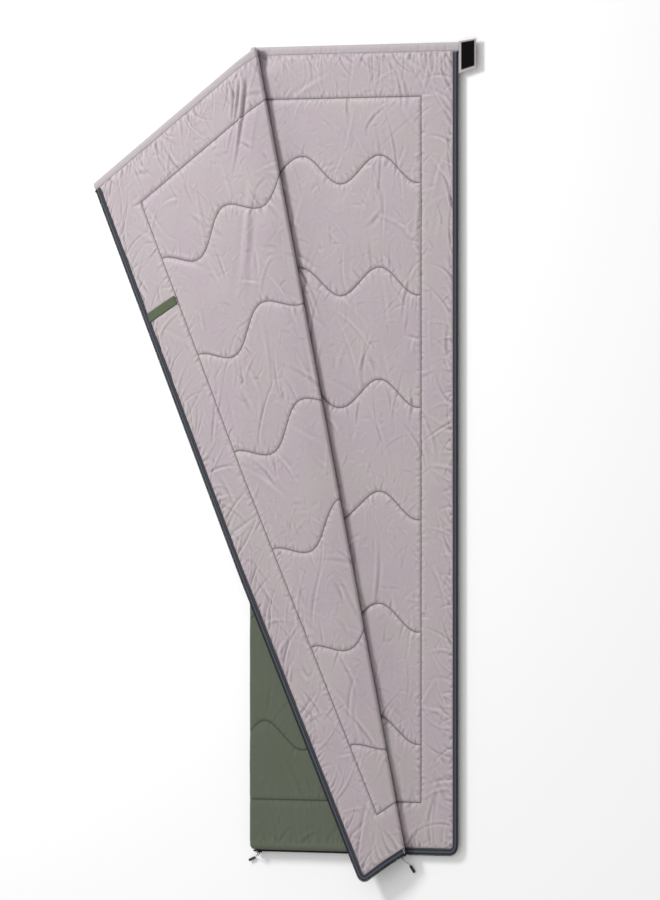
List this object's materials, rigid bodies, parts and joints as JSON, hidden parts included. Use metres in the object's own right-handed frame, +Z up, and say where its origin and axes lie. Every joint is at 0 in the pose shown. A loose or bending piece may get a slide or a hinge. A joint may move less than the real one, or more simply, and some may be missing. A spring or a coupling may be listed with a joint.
{
  "type": "camp quilt",
  "caption": "Rectangular camp quilt that zips shut along one side and the foot, closed at the foot, upper half folded back to show the lining",
  "frame": {"origin": "on the ground under the middle of the closed quilt, at the centre of the underside of its lower half", "axes": "+Y to the head end, +X to the zipped long side, +Z up"},
  "size_m": [1.4691, 2.2842, 0.0497],
  "materials": {
    "olive_shell": "matt woven polyester, olive green",
    "greige_lining": "soft sheen microfibre, warm light grey",
    "white_fill": "lofted hollow-fibre wadding",
    "slate_zip_tape": "woven zip tape, slate",
    "black_coil": "nylon coil, black",
    "black_metal": "black enamel on die-cast zinc",
    "black_hook_tape": "hook and loop tape, black",
    "grey_pull_cord": "braided cord, grey",
    "black_grip": "moulded soft plastic, black",
    "green_webbing": "ribbed polyester webbing, green"
  },
  "bodies": {
    "base": {"base_fill": "white_fill", "base_hem": "greige_lining", "base_lining": "greige_lining", "base_shell": "olive_shell", "base_top_stop": "black_metal", "base_zip_coil": "black_coil", "base_zip_tape": "slate_zip_tape", "side_fold_fill": "white_fill", "side_fold_hem": "greige_lining", "side_fold_lining": "greige_lining", "side_fold_shell": "olive_shell", "zip_end_box": "black_metal"},
    "panel": {"flap_fold_fill": "white_fill", "flap_fold_hem": "greige_lining", "flap_fold_lining": "greige_lining", "flap_fold_shell": "olive_shell", "panel_fill": "white_fill", "panel_lining": "greige_lining", "panel_shell": "olive_shell", "panel_zip_coil": "black_coil", "panel_zip_tape": "slate_zip_tape"},
    "flap": {"flap_fill": "white_fill", "flap_hem": "greige_lining", "flap_lining": "greige_lining", "flap_shell": "olive_shell", "flap_zip_coil": "black_coil", "flap_zip_tape": "slate_zip_tape"},
    "wing": {"wing_fill": "white_fill", "wing_hem": "greige_lining", "wing_lining": "greige_lining", "wing_shell": "olive_shell", "wing_top_stop": "black_metal", "wing_zip_coil": "black_coil", "wing_zip_tape": "slate_zip_tape", "loop_patch": "black_hook_tape", "webbing_strap": "green_webbing"},
    "tab": {"closing_tab": "greige_lining", "hook_patch": "black_hook_tape"},
    "main_slider": {"main_slider_body": "black_metal", "main_slider_bail": "black_metal"},
    "main_pull": {"main_pull_link": "black_metal", "main_pull_cord": "grey_pull_cord", "main_pull_grip": "black_grip"},
    "foot_slider": {"foot_slider_body": "black_metal", "foot_slider_bail": "black_metal"},
    "foot_pull": {"foot_pull_link": "black_metal", "foot_pull_cord": "grey_pull_cord", "foot_pull_grip": "black_grip"}
  },
  "joints": [
    {"name": "side_fold", "type": "hinge", "parent": "base", "child": "panel", "pos_m": [-0.3925, 0, 0.0165], "axis": [0, -1, 0], "range_deg": [0, 175], "deforming": ["side_fold_fill", "side_fold_hem", "side_fold_lining", "side_fold_shell"]},
    {"name": "flap_fold", "type": "hinge", "parent": "panel", "child": "flap", "pos_m": [-0.0712, 0, 0.0332], "axis": [-0.2508, 0.968, 0], "range_deg": [0, 180], "deforming": ["flap_fold_fill", "flap_fold_hem", "flap_fold_lining", "flap_fold_shell"]},
    {"name": "wing_bend", "type": "hinge", "parent": "flap", "child": "wing", "pos_m": [-0.3925, 0, 0.0334], "axis": [0, 1, 0], "range_deg": [0, 2.91]},
    {"name": "tab_fold", "type": "hinge", "parent": "base", "child": "tab", "pos_m": [0.3931, 1.057, 0.02555], "axis": [0, -1, 0], "range_deg": [0, 180]},
    {"name": "main_slide", "type": "slide", "parent": "base", "child": "main_slider", "axis": [1, 0, 0], "range_m": [-0.48, 0.005]},
    {"name": "main_pull_swing", "type": "hinge", "parent": "main_slider", "child": "main_pull", "pos_m": [0.1838, -1.1073, 0.01685], "axis": [0, 0, 1], "range_deg": [-111, 29]},
    {"name": "foot_slide", "type": "slide", "parent": "base", "child": "foot_slider", "axis": [1, 0, 0], "range_m": [0, 0.3]},
    {"name": "foot_pull_swing", "type": "hinge", "parent": "foot_slider", "child": "foot_pull", "pos_m": [-0.3635, -1.1073, 0.01685], "axis": [0, 0, 1], "range_deg": [0, 140]}
  ],
  "couplings": [
    {"joint": "wing_bend", "follows": "flap_fold", "ratio": 0.016175}
  ]
}
